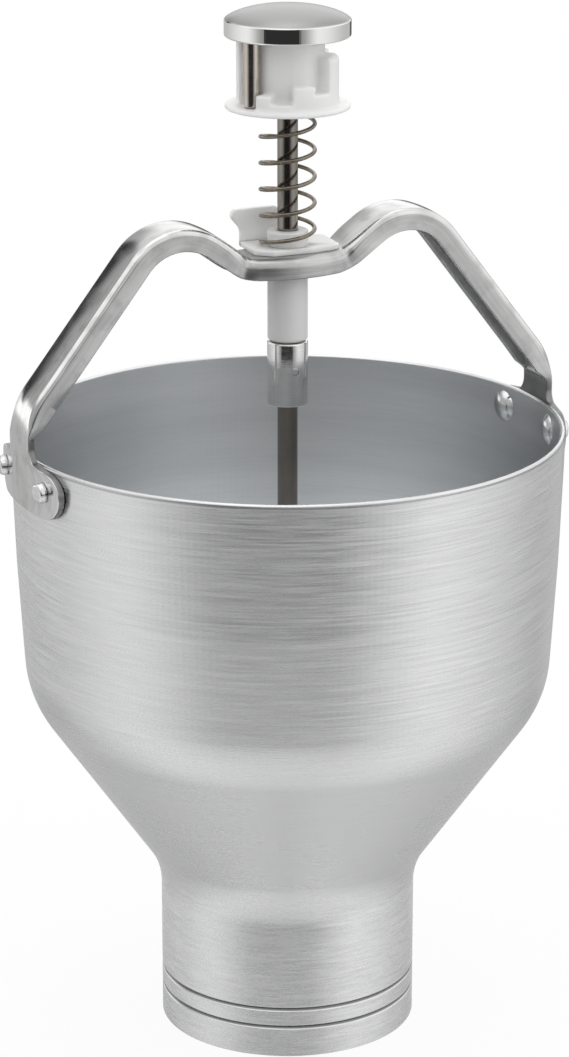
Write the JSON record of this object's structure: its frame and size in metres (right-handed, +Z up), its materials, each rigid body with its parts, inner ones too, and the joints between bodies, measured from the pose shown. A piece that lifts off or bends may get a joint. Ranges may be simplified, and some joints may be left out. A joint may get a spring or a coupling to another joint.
{
  "type": "hand batter depositor",
  "caption": "Hand-held batter depositor: spun hopper with a neck, bent channel handle, sprung plunger with domed thumb cap and stepped portion dial.",
  "frame": {"origin": "middle of the hopper's outlet, on the plane of its lower edge", "axes": "+Z up along the plunger's axis, +X along the handle, +Y to the rear"},
  "size_m": [0.1786, 0.172, 0.3263],
  "materials": {
    "spun_aluminium": "spun and finely brushed round the axis",
    "plated_steel": "bright zinc plating with tool marks",
    "rivet_aluminium": "bright, slightly worn",
    "white_nylon": "natural white, satin",
    "white_acetal": "moulded white, satin",
    "spring_steel": "drawn stainless wire",
    "rod_steel": "ground stainless steel",
    "polished_steel": "mirror polished",
    "seal_rubber": "matte food-grade rubber",
    "cast_disc": "turned"
  },
  "bodies": {
    "hopper_frame": {"hopper": "spun_aluminium", "outlet_ring": "white_nylon", "handle": "plated_steel", "rivet_left_front": "rivet_aluminium", "rivet_left_rear": "rivet_aluminium", "rivet_right_front": "rivet_aluminium", "rivet_right_rear": "rivet_aluminium", "guide_bush": "white_nylon", "return_spring": "spring_steel"},
    "plunger": {"push_rod": "rod_steel", "stop_collar": "plated_steel", "collar_pin": "rod_steel", "thumb_cap": "polished_steel", "index_pin": "rod_steel", "piston": "white_nylon", "piston_seal": "seal_rubber", "spacer_tube": "rod_steel", "cutter_disc": "cast_disc", "lock_washer": "rod_steel", "end_nut": "rod_steel", "backing_nut": "rod_steel"},
    "dial": {"portion_dial": "white_acetal"}
  },
  "joints": [
    {"name": "plunger_press", "type": "slide", "parent": "hopper_frame", "child": "plunger", "axis": [0, 0, -1], "range_m": [0, 0.024], "stiffness_N_per_m": 500, "springref_m": -0.014, "deforming": ["return_spring"]},
    {"name": "dial_pull", "type": "slide", "parent": "plunger", "child": "dial", "axis": [0, 0, -1], "range_m": [0, 0.0076], "stiffness_N_per_m": 500, "springref_m": -0.014, "deforming": ["return_spring"]}
  ]
}
